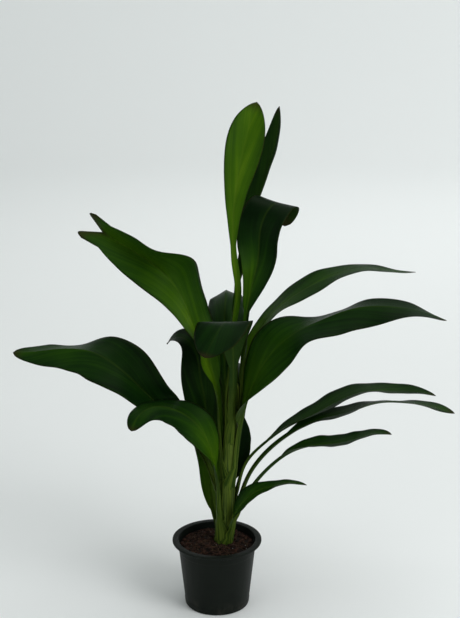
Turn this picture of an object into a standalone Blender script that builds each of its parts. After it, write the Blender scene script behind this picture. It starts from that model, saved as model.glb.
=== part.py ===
"""Potted ti plant: one leafy cane with long arching strap leaves, in a small plastic nursery pot.

Lengths are in metres and angles in degrees. The pot stands on z = 0 with its axis on the origin, and the
plant faces -Y. A heading is a compass direction in the ground plane: 0 is +X, 90 is +Y, away from the front.
"""

import math

import bmesh
import bpy
import numpy as np

# Pot, a six inch nursery pot
POT_HEIGHT = 0.124
POT_BASE_RADIUS = 0.0575
POT_TOP_RADIUS = 0.0710
POT_WALL = 0.0020
POT_FLOOR = 0.0030
LIP_RADIUS = 0.0800
LIP_THICKNESS = 0.0036
LIP_ROUNDING = 0.0008
LIP_FILLET = 0.0012
BASE_ROUNDING = 0.0040
DRAIN_HOLES = 8
DRAIN_RADIUS = 0.0045
DRAIN_CIRCLE = 0.0440
DRAIN_SIDES = 16
DRAIN_TURN = 0.4
CUTTER_REACH = 0.0050
TURN_STEPS = 48

# Soil
GAP = 0.0003
SOIL_EDGE = 0.1120
SOIL_TOP = 0.1200
SOIL_RINGS = 7
SOIL_LUMP = 0.0016
SOIL_SEED = 11

# Cane: a straight foot in the soil, then a column that leans a little and tapers
CANE_FOOT_Z = 0.070
CANE_FOOT_X = 0.012
CANE_TOP_X = 0.031
CANE_TOP_Z = 0.420
CANE_FOOT_RADIUS = 0.0170
CANE_TOP_RADIUS = 0.0100
CANE_SIDES = 24
CANE_RINGS = 12
CANE_TOP_RINGS = (0.70, 0.40, 0.15)
CANE_TOP_FLAT = 0.90

# Leaves
LEAF_THICKNESS = 0.0010
LEAF_STAND_OFF = 0.0012
SHEATH_HALF_WIDTH = 0.0085
STALK_HALF_WIDTH = 0.0058
TIP_HALF_WIDTH = 0.0012
NOTCH_START = 0.6
LONG_LEAF = 0.30
LONG_LEAF_STEPS = 20
SHORT_LEAF_STEPS = 12
LEAF_CROSS_STEPS = 4
STEPS_PER_ROW = 4

# base is the height where the leaf leaves the cane, stalk the share of its length before the blade widens,
# belly where along the blade it is widest, and fullness bends its outline from pointed (1) to blunt (0.4).
# The lists run evenly from base to tip: the heading and rise of the midrib, the roll of the blade about it,
# and how far its left and right halves are folded up. cup is the extra bend of each half out to its edge.
# Where they are given, neck is half the width of the stalk, end half the width at the tip, and notch how far
# the edges run on beyond the midrib there.
LEAVES = {
    # short leaf low on the right
    "leaf_01": dict(
        base=0.132, length=0.217, width=0.041, stalk=0.12, belly=0.32, fullness=0.66,
        heading=(-62, -43, -24, -10, -18), rise=(68, 74, 68, 56, 51, 37, 21, 20, 3, -9),
        roll=(0, -39, -43, -10, -11), left=(8, 13, 2, 4), right=(-6, 14, 15, 8), cup=5,
    ),
    # tall leaf behind the cane on the left, its tip curled out
    "leaf_02": dict(
        base=0.130, length=0.406, width=0.071, stalk=0.08, belly=0.60, fullness=0.38, neck=0.0080,
        heading=(125, 128, 153, 167, 166, 167, 176), rise=(72, 73, 88, 87, 81, 88, 78, 82, 41, -59),
        roll=(0, 27, 49, 66, 78, 52, -7), left=(10, 20, 10, 5), right=(10, 20, 10, 5), cup=5,
    ),
    # low leaf at the back
    "leaf_03": dict(
        base=0.145, length=0.42, width=0.064, stalk=0.25, belly=0.5, fullness=0.7,
        heading=(76, 92, 98), rise=(70, 59, 44, 5, -30),
        roll=0, left=(10, 30, 20, 10), right=(10, 30, 20, 10), cup=5,
    ),
    # lowest of three narrow-looking leaves on the right
    "leaf_04": dict(
        base=0.150, length=0.371, width=0.053, stalk=0.44, belly=0.51, fullness=0.56,
        heading=-15, rise=(73, 69, 59, 50, 41, 24, 10, 19, 24, -12),
        roll=(0, -2, -6, -10, -6), left=(8, 16, 5, -4), right=(8, 33, 18, 11), cup=5,
    ),
    # leaf low on the left that droops towards the front
    "leaf_05": dict(
        base=0.165, length=0.344, width=0.071, stalk=0.30, belly=0.52, fullness=0.52, neck=0.0068,
        heading=(228, 208, 194, 195, 238), rise=(84, 90, 83, 79, 69, 53, 33, 11, -26, -60),
        roll=(0, 31, 65, 35, 29), left=(6, 18, 3, -4, 6), right=(-2, 7, -3, -35, -27), cup=5,
    ),
    # middle one of the three, seen edge-on
    "leaf_06": dict(
        base=0.165, length=0.489, width=0.066, stalk=0.35, belly=0.57, fullness=0.68,
        heading=(10, 3, -3, -6, -10), rise=(73, 72, 54, 40, 30, 14, 23, 1, -6, -20),
        roll=(0, -2, -9, 5, 21, -14), left=(11, 24, 7, 2), right=(5, 12, 3, 1), cup=5,
    ),
    # second leaf at the back
    "leaf_07": dict(
        base=0.172, length=0.40, width=0.064, stalk=0.25, belly=0.5, fullness=0.7,
        heading=(86, 100, 108), rise=(68, 63, 45, 5, -30),
        roll=0, left=(10, 30, 20, 10), right=(10, 30, 20, 10), cup=5,
    ),
    # top one of the three
    "leaf_08": dict(
        base=0.190, length=0.457, width=0.066, stalk=0.28, belly=0.50, fullness=0.68,
        heading=(22, -1, 8, 8, -8), rise=(77, 76, 48, 38, 24, 28, 18, -3, -1, -16),
        roll=(0, 10, -5, 4, 0), left=(7, 8, 9, 20), right=(1, 23, 12, -3), cup=5,
    ),
    # long leaf straight out to the left
    "leaf_09": dict(
        base=0.200, length=0.499, width=0.101, stalk=0.30, belly=0.44, fullness=0.57, neck=0.0070,
        heading=175, rise=(79, 72, 52, 48, 45, 44, 31, 2, -9, -1),
        roll=(0, 54, 36, 29, 60, 49, 40, 22, 12, 22),
        left=(7, 27, 12, 16, 42, 21, -12, -35, -32, -17),
        right=(1, 8, 4, 28, 40, 26, -5, -33, -14, -2), cup=5,
    ),
    # young leaf pressed to the cane on the right
    "leaf_10": dict(
        base=0.210, length=0.150, width=0.058, stalk=0.10, belly=0.5, fullness=0.6,
        heading=(72, 56, 50), rise=(70, 73, 81, 88, 95),
        roll=(0, -49, -73), left=(10, 20, 10), right=(10, 20, 10), cup=5,
    ),
    # broad long leaf on the right
    "leaf_11": dict(
        base=0.265, length=0.557, width=0.094, stalk=0.15, belly=0.41, fullness=0.59, neck=0.0066,
        heading=(-34, -23, -1, 3), rise=(84, 81, 74, 64, 49, 29, 21, 0, -12, -24),
        roll=(0, -10, -32, -42, -53, -39, -32, -48, -21, -9),
        left=(-4, 17, 15, 13, 10, -36, -45, -46, -11, -22),
        right=(4, 32, 28, -3, 2, 16, -11, -3, 4, -6), cup=5,
    ),
    # broad leaf up to the left with its face turned to the front
    "leaf_12": dict(
        base=0.280, length=0.482, width=0.107, stalk=0.26, belly=0.61, fullness=0.58,
        neck=0.0085, notch=0.0362, end=0.0294,
        heading=(178, 180, 180, 177, 185, 190, 183, 167, 180, 179),
        rise=(86, 88, 85, 74, 67, 71, 58, 37, 32, 33),
        roll=(0, 26, 41, 75, 75, 76, 81, 74, 87, 80),
        left=(9, 24, 22, 29, 62, 49, 46, 35, 32, 25),
        right=(7, 14, 0, -3, -6, -27, -25, 54, 47, 42), cup=5,
    ),
    # slender leaf up to the right
    "leaf_13": dict(
        base=0.310, length=0.515, width=0.067, stalk=0.28, belly=0.47, fullness=0.73, neck=0.0058,
        heading=(38, 36, 12, 7, 3), rise=(86, 85, 81, 61, 48, 33, 25, 10, -11, 2),
        roll=(0, -5, -7, -30, -9, 2), left=(0, 11, -16, -10, 3), right=(4, 9, 21, 11, -3), cup=5,
    ),
    # leaf that arches over at the back
    "leaf_14": dict(
        base=0.330, length=0.351, width=0.080, stalk=0.2, belly=0.58, fullness=0.85, neck=0.0080,
        heading=(114, 89, 91), rise=(80, 78, 79, 45, -11, -59),
        roll=0, left=(0, -9, -40, -22), right=(4, -3, -33, -10), cup=5,
    ),
    # leaf that arches over towards the front
    "leaf_15": dict(
        base=0.350, length=0.308, width=0.091, stalk=0.25, belly=0.70, fullness=0.61, neck=0.0080,
        heading=(275, 277, 252, 234), rise=(86, 80, 98, 50, -22, -47),
        roll=4, left=(12, 20, -13), right=(-17, -15, -6), cup=5,
    ),
    # leaf beside the top one, its end folded over
    "leaf_16": dict(
        base=0.370, length=0.447, width=0.080, stalk=0.38, belly=0.60, fullness=0.51, neck=0.0065,
        heading=(0, 34, 49, 47, 12, 50, 76), rise=(85, 87, 80, 90, 72, 73, 88, 55, -29, -102),
        roll=(0, 23, -19, -54, -56, -20, -4), left=(9, 31, 18, -21), right=(-3, 29, 13, 7), cup=2,
    ),
    # upright top leaf
    "leaf_17": dict(
        base=0.380, length=0.532, width=0.065, stalk=0.32, belly=0.80, fullness=0.73, neck=0.0085,
        heading=(165, 102, 29, 28, 21, 38, 55), rise=(88, 103, 79, 79, 98, 91, 85, 77, 70, 57),
        roll=(0, -64, -98, -80, -80, -52, -21), left=(10, 20, 10, 5), right=(10, 20, 10, 5), cup=15,
    ),
    # narrow upright leaf behind the top one
    "leaf_18": dict(
        base=0.395, length=0.512, width=0.058, stalk=0.28, belly=0.63, fullness=0.64, neck=0.0068,
        heading=(83, 94, 52, 33, 20, 15), rise=(78, 73, 73, 66, 61, 83, 71, 73, 78, 90),
        roll=(0, -12, -9, -10, -18), left=(5, 34, 35, 26, 11), right=(10, 48, 53, 24, 9), cup=15,
    ),
}


def along(values, t):
    """Smooth value at t from 0 to 1 through evenly spaced values."""
    if not isinstance(values, tuple):
        return float(values)
    last = len(values) - 1
    x = t * last
    i = min(int(x), last - 1)
    f = x - i
    before = values[max(i - 1, 0)]
    start = values[i]
    end = values[i + 1]
    after = values[min(i + 2, last)]
    bend = 2 * before - 5 * start + 4 * end - after
    twist = 3 * start - before - 3 * end + after
    return 0.5 * (2 * start + (end - before) * f + bend * f * f + twist * f ** 3)


def cane_axis(z):
    """Centre of the cane at height z."""
    share = max(0.0, (z - SOIL_TOP) / (CANE_TOP_Z - SOIL_TOP))
    return np.array((CANE_FOOT_X + (CANE_TOP_X - CANE_FOOT_X) * share, 0.0, z))


def cane_radius(z):
    """Radius of the cane at height z."""
    share = max(0.0, (z - SOIL_TOP) / (CANE_TOP_Z - SOIL_TOP))
    return CANE_FOOT_RADIUS + (CANE_TOP_RADIUS - CANE_FOOT_RADIUS) * share


def half_width(leaf, t):
    """Half the width of a leaf, measured round its cross-section, at t from base to tip."""
    stalk = leaf["stalk"]
    neck = leaf.get("neck", STALK_HALF_WIDTH)
    sheath = max(neck, SHEATH_HALF_WIDTH)
    base = sheath + (neck - sheath) * min(1.0, 2 * t / stalk) ** 0.7
    b = max(0.0, (t - stalk) / (1 - stalk))
    skew = math.log(0.5) / math.log(leaf["belly"])
    outline = max(math.sin(math.pi * b ** skew), 0.0) ** leaf["fullness"]
    end = leaf.get("end", TIP_HALF_WIDTH)
    return max(leaf["width"] / 2 * outline, base * (1 - b), end * b)


def direction(leaf, t):
    """Unit vector along the midrib, and the unit vectors to the right of the blade and out of its face."""
    heading = math.radians(along(leaf["heading"], t))
    rise = math.radians(along(leaf["rise"], t))
    roll = math.radians(along(leaf["roll"], t))
    level_way = np.array((math.cos(heading), math.sin(heading), 0.0))
    forward = math.cos(rise) * level_way + math.sin(rise) * np.array((0.0, 0.0, 1.0))
    level = np.array((math.sin(heading), -math.cos(heading), 0.0))
    upright = np.cross(level, forward)
    right = math.cos(roll) * level + math.sin(roll) * upright
    face = math.cos(roll) * upright - math.sin(roll) * level
    return forward, right, face


def midrib(leaf, rows):
    """Points along the midrib, walked out from the surface of the cane."""
    heading = math.radians(along(leaf["heading"], 0.0))
    outward = np.array((math.cos(heading), math.sin(heading), 0.0))
    base = leaf["base"]
    point = cane_axis(base) + outward * (cane_radius(base) + LEAF_STAND_OFF)
    points = [point]
    steps = rows * STEPS_PER_ROW
    for step in range(steps):
        forward, right, face = direction(leaf, (step + 0.5) / steps)
        point = point + forward * leaf["length"] / steps
        if (step + 1) % STEPS_PER_ROW == 0:
            points.append(point)
    return points


def blade_point(leaf, centre, t, v):
    """Point of the blade at t along and v across, with v from -1 at the left edge to 1 at the right one."""
    forward, right, face = direction(leaf, t)
    side = "right" if v > 0 else "left"
    fold = math.radians(along(leaf[side], t))
    cup = math.radians(leaf["cup"])
    width = half_width(leaf, t)
    across = width * (math.sin(fold + cup * abs(v)) - math.sin(fold)) / cup
    lift = width * (math.cos(fold) - math.cos(fold + cup * abs(v))) / cup
    ahead = leaf.get("notch", 0.0) * abs(v) * max(0.0, (t - NOTCH_START) / (1 - NOTCH_START)) ** 2
    return centre + right * math.copysign(across, v) + face * lift + forward * ahead


def material(name, colour, roughness, metallic=0.0):
    """Plain Principled material."""
    made = bpy.data.materials.new(name)
    made.use_nodes = True
    shader = made.node_tree.nodes["Principled BSDF"]
    shader.inputs["Base Color"].default_value = (*colour, 1.0)
    shader.inputs["Roughness"].default_value = roughness
    shader.inputs["Metallic"].default_value = metallic
    made.diffuse_color = (*colour, 1.0)
    return made


def add_object(name, mesh, collection, look):
    """Object with its material, linked into a collection."""
    made = bpy.data.objects.new(name, mesh)
    collection.objects.link(made)
    if look is not None:
        mesh.materials.append(look)
    return made


def turned_mesh(name, profile):
    """Open profile in the XZ plane as a mesh, ready for a Screw modifier."""
    mesh = bpy.data.meshes.new(name)
    points = [(radius, 0.0, z) for radius, z in profile]
    edges = [(i, i + 1) for i in range(len(points) - 1)]
    mesh.from_pydata(points, edges, [])
    return mesh


def add_screw(target, steps):
    """Full turn about Z."""
    turn = target.modifiers.new("turn", "SCREW")
    turn.axis = "Z"
    turn.steps = steps
    turn.render_steps = steps
    turn.use_merge_vertices = True
    turn.merge_threshold = 0.00005
    turn.use_smooth_shade = True


def add_cutter(name, radius, sides, bottom, top, place, collection):
    """Upright cylinder that cuts a hole."""
    shape = bmesh.new()
    bmesh.ops.create_cone(shape, cap_ends=True, segments=sides, radius1=radius, radius2=radius,
                          depth=top - bottom)
    mesh = bpy.data.meshes.new(name)
    shape.to_mesh(mesh)
    shape.free()
    cutter = add_object(name, mesh, collection, None)
    cutter.location = (place[0], place[1], (top + bottom) / 2)
    cutter.hide_render = True
    cutter.display_type = "WIRE"
    return cutter


def cut(target, cutter):
    """Exact Boolean difference."""
    hole = target.modifiers.new(cutter.name, "BOOLEAN")
    hole.operation = "DIFFERENCE"
    hole.solver = "EXACT"
    hole.object = cutter


def pot_outer_radius(z):
    """Radius of the tapered wall at height z."""
    return POT_BASE_RADIUS + (POT_TOP_RADIUS - POT_BASE_RADIUS) * z / POT_HEIGHT


def build_pot(parts, cutters):
    """Thin tapered pot with a flat outward lip and drain holes round its base."""
    lip_bottom = POT_HEIGHT - LIP_THICKNESS
    under_lip = lip_bottom - LIP_FILLET
    profile = [
        (0.0, POT_FLOOR),
        (pot_outer_radius(POT_FLOOR) - POT_WALL, POT_FLOOR),
        (POT_TOP_RADIUS - POT_WALL, POT_HEIGHT),
        (LIP_RADIUS - LIP_ROUNDING, POT_HEIGHT),
        (LIP_RADIUS, POT_HEIGHT - LIP_ROUNDING),
        (LIP_RADIUS, lip_bottom + LIP_ROUNDING),
        (LIP_RADIUS - LIP_ROUNDING, lip_bottom),
        (pot_outer_radius(lip_bottom) + LIP_FILLET, lip_bottom),
        (pot_outer_radius(under_lip), under_lip),
        (pot_outer_radius(BASE_ROUNDING), BASE_ROUNDING),
        (POT_BASE_RADIUS - BASE_ROUNDING * 0.25, BASE_ROUNDING * 0.3),
        (POT_BASE_RADIUS - BASE_ROUNDING, 0.0),
        (0.0, 0.0),
    ]
    look = material("pot_plastic", (0.028, 0.034, 0.032), 0.45)
    pot = add_object("pot", turned_mesh("pot", profile), parts, look)
    add_screw(pot, TURN_STEPS)
    for i in range(DRAIN_HOLES):
        angle = 2 * math.pi * (i + DRAIN_TURN) / DRAIN_HOLES
        place = (DRAIN_CIRCLE * math.cos(angle), DRAIN_CIRCLE * math.sin(angle))
        hole = add_cutter(f"drain_{i + 1}", DRAIN_RADIUS, DRAIN_SIDES, -CUTTER_REACH,
                          POT_FLOOR + CUTTER_REACH, place, cutters)
        cut(pot, hole)


def make_real(target):
    """Replace the mesh of an object by the one its modifiers make."""
    evaluated = target.evaluated_get(bpy.context.evaluated_depsgraph_get())
    mesh = bpy.data.meshes.new_from_object(evaluated)
    target.modifiers.clear()
    target.data = mesh


def soil_height(radius, edge):
    """Soil mounded up a little towards the cane."""
    return SOIL_EDGE + (SOIL_TOP - SOIL_EDGE) * math.cos(math.pi / 2 * radius / edge)


def build_soil(parts, cutters):
    """Soil that fills the pot, with an uneven top and a round hole where the cane stands."""
    rng = np.random.default_rng(SOIL_SEED)
    edge = pot_outer_radius(SOIL_EDGE) - POT_WALL - GAP
    floor = POT_FLOOR + GAP
    floor_radius = pot_outer_radius(POT_FLOOR) - POT_WALL - GAP
    radii = [edge * i / SOIL_RINGS for i in range(SOIL_RINGS + 1)]
    profile = [(radius, soil_height(radius, edge)) for radius in radii]
    profile += [(floor_radius, floor), (0.0, floor)]
    look = material("soil_bark", (0.055, 0.030, 0.020), 0.95)
    soil = add_object("soil", turned_mesh("soil", profile), parts, look)
    add_screw(soil, TURN_STEPS)
    make_real(soil)
    for vertex in soil.data.vertices:
        from_axis = math.hypot(vertex.co.x, vertex.co.y)
        from_cane = math.hypot(vertex.co.x - CANE_FOOT_X, vertex.co.y)
        on_top = vertex.co.z > SOIL_EDGE + GAP and from_axis < edge - GAP
        if on_top and from_cane > CANE_FOOT_RADIUS * 1.4:
            vertex.co.z += rng.uniform(-SOIL_LUMP, SOIL_LUMP)
    hole = add_cutter("cane_hole", CANE_FOOT_RADIUS + GAP, CANE_SIDES, CANE_FOOT_Z - GAP,
                      SOIL_TOP + CUTTER_REACH, (CANE_FOOT_X, 0.0), cutters)
    cut(soil, hole)


def build_cane(parts):
    """Cane as one closed column: straight in the soil, then leaning and tapering to a rounded top."""
    heights = [SOIL_TOP + (CANE_TOP_Z - SOIL_TOP) * i / CANE_RINGS for i in range(CANE_RINGS)]
    heights += [CANE_TOP_Z - CANE_TOP_RADIUS * share for share in CANE_TOP_RINGS]
    shape = bmesh.new()
    bmesh.ops.create_cone(shape, cap_ends=True, segments=CANE_SIDES, radius1=1.0, radius2=1.0,
                          depth=CANE_TOP_Z - CANE_FOOT_Z)
    bmesh.ops.translate(shape, verts=shape.verts, vec=(0.0, 0.0, (CANE_TOP_Z + CANE_FOOT_Z) / 2))
    for z in heights:
        geometry = shape.verts[:] + shape.edges[:] + shape.faces[:]
        bmesh.ops.bisect_plane(shape, geom=geometry, plane_co=(0.0, 0.0, z), plane_no=(0.0, 0.0, 1.0))
    for vertex in shape.verts:
        z = vertex.co.z
        near_top = max(0.0, (z - CANE_TOP_Z + CANE_TOP_RADIUS) / CANE_TOP_RADIUS)
        radius = cane_radius(z) * math.sqrt(1 - CANE_TOP_FLAT * near_top ** 2)
        vertex.co = cane_axis(z) + radius * np.array((vertex.co.x, vertex.co.y, 0.0))
    mesh = bpy.data.meshes.new("cane")
    shape.to_mesh(mesh)
    shape.free()
    mesh.shade_smooth()
    add_object("cane", mesh, parts, material("cane_green", (0.150, 0.200, 0.060), 0.50))


def build_leaf(name, leaf, parts):
    """One leaf with its stalk: a grid laid along the midrib and given its thickness."""
    rows = LONG_LEAF_STEPS if leaf["length"] > LONG_LEAF else SHORT_LEAF_STEPS
    shape = bmesh.new()
    bmesh.ops.create_grid(shape, x_segments=rows, y_segments=LEAF_CROSS_STEPS, size=0.5)
    centres = midrib(leaf, rows)
    for vertex in shape.verts:
        row = round((vertex.co.x + 0.5) * rows)
        v = vertex.co.y * -2.0
        vertex.co = blade_point(leaf, centres[row], row / rows, v)
    bmesh.ops.triangulate(shape, faces=shape.faces[:])
    mesh = bpy.data.meshes.new(name)
    shape.to_mesh(mesh)
    shape.free()
    mesh.shade_smooth()
    blade = add_object(name, mesh, parts, material(f"{name}_green", (0.060, 0.135, 0.035), 0.35))
    shell = blade.modifiers.new("thickness", "SOLIDIFY")
    shell.thickness = LEAF_THICKNESS
    shell.offset = 0.0


def main():
    for old in list(bpy.data.objects):
        bpy.data.objects.remove(old, do_unlink=True)
    parts = bpy.data.collections.new("potted_ti_plant")
    cutters = bpy.data.collections.new("cutters")
    bpy.context.scene.collection.children.link(parts)
    bpy.context.scene.collection.children.link(cutters)
    build_pot(parts, cutters)
    build_soil(parts, cutters)
    build_cane(parts)
    for name, leaf in LEAVES.items():
        build_leaf(name, leaf, parts)


main()
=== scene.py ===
# %% [markdown]
# # A potted ti plant
# This lesson dresses the plain solids of a potted ti plant: a young cane with long strap leaves in a small
# black nursery pot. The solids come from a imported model, which fixes every size and place. Here each one is
# replaced by a finer piece of the same form, and gets a finish made of shader nodes.

import math

import bmesh
import bpy
import numpy as np
from mathutils import Matrix, Vector, noise


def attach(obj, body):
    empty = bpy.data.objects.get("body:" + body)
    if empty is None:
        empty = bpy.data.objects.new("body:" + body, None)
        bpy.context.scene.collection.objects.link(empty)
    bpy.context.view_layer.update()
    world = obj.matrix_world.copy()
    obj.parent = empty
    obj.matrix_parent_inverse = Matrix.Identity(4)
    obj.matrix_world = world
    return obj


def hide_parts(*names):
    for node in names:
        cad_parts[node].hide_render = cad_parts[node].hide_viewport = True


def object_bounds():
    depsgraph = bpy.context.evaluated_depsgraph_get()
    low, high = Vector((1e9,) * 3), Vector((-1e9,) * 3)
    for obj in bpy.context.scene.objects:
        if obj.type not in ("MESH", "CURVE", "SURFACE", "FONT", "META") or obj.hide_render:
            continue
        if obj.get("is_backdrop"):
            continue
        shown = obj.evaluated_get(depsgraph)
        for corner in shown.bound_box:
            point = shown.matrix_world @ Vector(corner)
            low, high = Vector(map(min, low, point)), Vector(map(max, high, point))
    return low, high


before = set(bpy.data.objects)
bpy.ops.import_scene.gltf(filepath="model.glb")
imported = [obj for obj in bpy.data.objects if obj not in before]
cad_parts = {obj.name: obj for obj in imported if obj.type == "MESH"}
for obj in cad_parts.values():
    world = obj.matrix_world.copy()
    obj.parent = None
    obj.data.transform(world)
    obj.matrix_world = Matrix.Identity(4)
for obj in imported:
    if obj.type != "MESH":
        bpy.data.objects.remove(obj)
CAD_BOX = [list(corner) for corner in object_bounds()]
print("solids:", len(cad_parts), "box in mm:", [round(1000 * (b - a)) for a, b in zip(*CAD_BOX)])

# %% [markdown]
# ## Writing shader maths as sums
# A finish here is a small net of nodes. Wiring each Math node by hand hides the idea, so one class wraps a
# socket and lets it be added and multiplied like a number. Every other node comes from one method, which
# takes the node's type, its settings and what goes into its sockets.


# %% A socket that can be used in a sum
class Wire:
    """An output socket. Sums with it add Math nodes to its finish."""

    def __init__(self, finish, socket):
        self.finish = finish
        self.socket = socket

    def maths(self, operation, *values):
        return self.finish.node("ShaderNodeMath", {"operation": operation}, dict(enumerate(values)))

    def __add__(self, other):
        return self.maths("ADD", self, other)

    __radd__ = __add__

    def __sub__(self, other):
        return self.maths("SUBTRACT", self, other)

    def __rsub__(self, other):
        return self.maths("SUBTRACT", other, self)

    def __mul__(self, other):
        return self.maths("MULTIPLY", self, other)

    __rmul__ = __mul__


# %% A finish: one material and its nodes
class Finish:
    """A Principled material whose nodes are added one by one."""

    def __init__(self, name, roughness=0.5):
        self.material = bpy.data.materials.new(name)
        self.material.use_nodes = True
        self.tree = self.material.node_tree
        self.shader = self.tree.nodes["Principled BSDF"]
        self.shader.inputs["Roughness"].default_value = roughness

    def node(self, kind, settings=None, inputs=None, output=0):
        """Add a node: its settings first, then a value or a wire for each input. Gives back one output."""
        made = self.tree.nodes.new(kind)
        for key, value in (settings or {}).items():
            if key == "stops":
                self.set_stops(made.color_ramp, value)
            else:
                setattr(made, key, value)
        for key, value in (inputs or {}).items():
            if isinstance(value, Wire):
                self.tree.links.new(value.socket, made.inputs[key])
            else:
                made.inputs[key].default_value = value
        return Wire(self, made.outputs[output])

    def set_stops(self, ramp, stops):
        """Give a colour ramp its stops, each a place from 0 to 1 and a colour."""
        while len(ramp.elements) < len(stops):
            ramp.elements.new(0.5)
        for element, (place, colour) in zip(ramp.elements, stops):
            element.position = place
            element.color = (*colour, 1.0)

    def attribute(self, name):
        """A number that each point of the mesh carries."""
        return self.node("ShaderNodeAttribute", {"attribute_name": name}, output=2)

    def place(self):
        """Object coordinates, in metres."""
        return self.node("ShaderNodeTexCoord", output=3)

    def mix(self, factor, first, second):
        """Blend two colours, each a wire or three numbers."""
        first, second = [(*c, 1.0) if isinstance(c, tuple) else c for c in (first, second)]
        return self.node("ShaderNodeMix", {"data_type": "RGBA"}, {0: factor, 6: first, 7: second}, output=2)

    def grain(self, vector, scale, detail=2.0, roughness=0.5):
        """Noise from 0 to 1."""
        sockets = {"Vector": vector, "Scale": scale, "Detail": detail, "Roughness": roughness}
        return self.node("ShaderNodeTexNoise", inputs=sockets)

    def between(self, value, low, high):
        """0 below low, 1 above high, and a smooth step from one to the other."""
        return self.node("ShaderNodeMapRange", {"interpolation_type": "SMOOTHSTEP"},
                         {"Value": value, "From Min": low, "From Max": high})

    def surface(self, **sockets):
        """Link or set sockets of the Principled shader, such as Base_Color=..."""
        for key, value in sockets.items():
            socket = self.shader.inputs[key.replace("_", " ")]
            if isinstance(value, Wire):
                self.tree.links.new(value.socket, socket)
            else:
                socket.default_value = value

    def relief(self, height, distance, strength):
        """Bump from a height between 0 and 1."""
        sockets = {"Strength": strength, "Distance": distance, "Height": height}
        self.surface(Normal=self.node("ShaderNodeBump", inputs=sockets))


# %% [markdown]
# ## Pieces ride on the imported body
# The imported model has one body, because nothing on a potted plant is hinged. A finished piece is handed to
# that body and stands for the solid it replaces.


# %% Hand a finished mesh over
def add_piece(name, shape, finish, slot, *stands_for):
    """Turn a bmesh into a smooth object that rides on the body."""
    mesh = bpy.data.meshes.new(name)
    shape.to_mesh(mesh)
    shape.free()
    mesh.shade_smooth()
    mesh.materials.append(finish.material)
    piece = bpy.data.objects.new(name, mesh)
    bpy.context.scene.collection.objects.link(piece)
    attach(piece, "root")
    if stands_for:
        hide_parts(*stands_for)
    print(f"{name}: {len(mesh.polygons)} faces")


def spun(profile, steps):
    """Bmesh of points (radius, height) spun about Z, closed where they start and end on the axis."""
    shape = bmesh.new()
    points = [shape.verts.new((radius, 0.0, z)) for radius, z in profile]
    edges = [shape.edges.new(pair) for pair in zip(points, points[1:])]
    bmesh.ops.spin(shape, geom=points + edges, cent=(0, 0, 0), axis=(0, 0, 1), angle=2 * math.pi,
                   steps=steps, use_merge=True)
    bmesh.ops.remove_doubles(shape, verts=shape.verts, dist=1e-6)
    bmesh.ops.recalc_face_normals(shape, faces=shape.faces)
    return shape


# %% [markdown]
# ## The pot
# A nursery pot is blown or moulded from thin black plastic: a tapered wall, a stiff lip turned outwards, and
# drain holes in the floor. It could be a cylinder, scaled and inset, but its section says more with less:
# spun once about the axis it gives wall, lip and foot ring in one skin, and a Boolean cuts the holes.

# %% Sizes of the pot, in metres
POT_HEIGHT = 0.124
POT_BASE_RADIUS = 0.0575
POT_TOP_RADIUS = 0.0710
POT_WALL = 0.0020
POT_FLOOR = 0.0030
LIP_RADIUS = 0.0800
LIP_THICKNESS = 0.0036
LIP_HOOK = 0.0012
BAND_TOP = 0.1040
BAND_BOTTOM = 0.0120
BAND_STEP = 0.0008
BAND_DEPTH = 0.0005
FOOT_RING = 0.0060
FOOT_LIFT = 0.0012
PAD_RADIUS = 0.0370
PAD_BEVEL = 0.0010
print("pot in mm:", round(1000 * POT_HEIGHT), "high,", round(2000 * LIP_RADIUS), "over the lip")


def pot_radius(z):
    """Outer radius of the wall at a height."""
    return POT_BASE_RADIUS + (POT_TOP_RADIUS - POT_BASE_RADIUS) * z / POT_HEIGHT


# %% The section of the pot
def rounded(corner, before, after, size, steps=4):
    """Points that round a corner of a section between the two points beside it."""
    corner, before, after = Vector(corner), Vector(before), Vector(after)
    start = corner + (before - corner).normalized() * size
    end = corner + (after - corner).normalized() * size
    points = []
    for i in range(steps + 1):
        t = i / steps
        points.append(tuple((1 - t) ** 2 * start + 2 * t * (1 - t) * corner + t * t * end))
    return points


def pot_section():
    """Points (radius, height) of the wall, from the inside of the floor over the lip to the underside."""
    lip = POT_HEIGHT - LIP_THICKNESS
    hook = lip + LIP_HOOK
    below_band = BAND_TOP - BAND_STEP
    under_band = BAND_BOTTOM - BAND_STEP
    corners = [
        ((0.0, POT_FLOOR), 0.0),
        ((pot_radius(POT_FLOOR) - POT_WALL, POT_FLOOR), 0.0020),
        ((POT_TOP_RADIUS - POT_WALL, POT_HEIGHT), 0.0012),
        ((LIP_RADIUS, POT_HEIGHT), 0.0010),
        ((LIP_RADIUS, lip), 0.0010),
        ((LIP_RADIUS - 0.0016, lip), 0.0005),
        ((LIP_RADIUS - 0.0022, hook), 0.0005),
        ((pot_radius(lip), hook), 0.0014),
        ((pot_radius(BAND_TOP), BAND_TOP), 0.0006),
        ((pot_radius(below_band) - BAND_DEPTH, below_band), 0.0004),
        ((pot_radius(BAND_BOTTOM) - BAND_DEPTH, BAND_BOTTOM), 0.0006),
        ((pot_radius(under_band), under_band), 0.0006),
        ((POT_BASE_RADIUS, 0.0), 0.0034),
        ((POT_BASE_RADIUS - FOOT_RING, 0.0), 0.0008),
        ((POT_BASE_RADIUS - FOOT_RING - FOOT_LIFT, FOOT_LIFT), 0.0008),
        ((PAD_RADIUS + PAD_BEVEL, FOOT_LIFT), 0.0006),
        ((PAD_RADIUS, 0.0), 0.0006),
        ((0.0, 0.0), 0.0),
    ]
    points = []
    for i, (corner, size) in enumerate(corners):
        if size:
            points += rounded(corner, corners[i - 1][0], corners[i + 1][0], size)
        else:
            points.append(corner)
    return points


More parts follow.
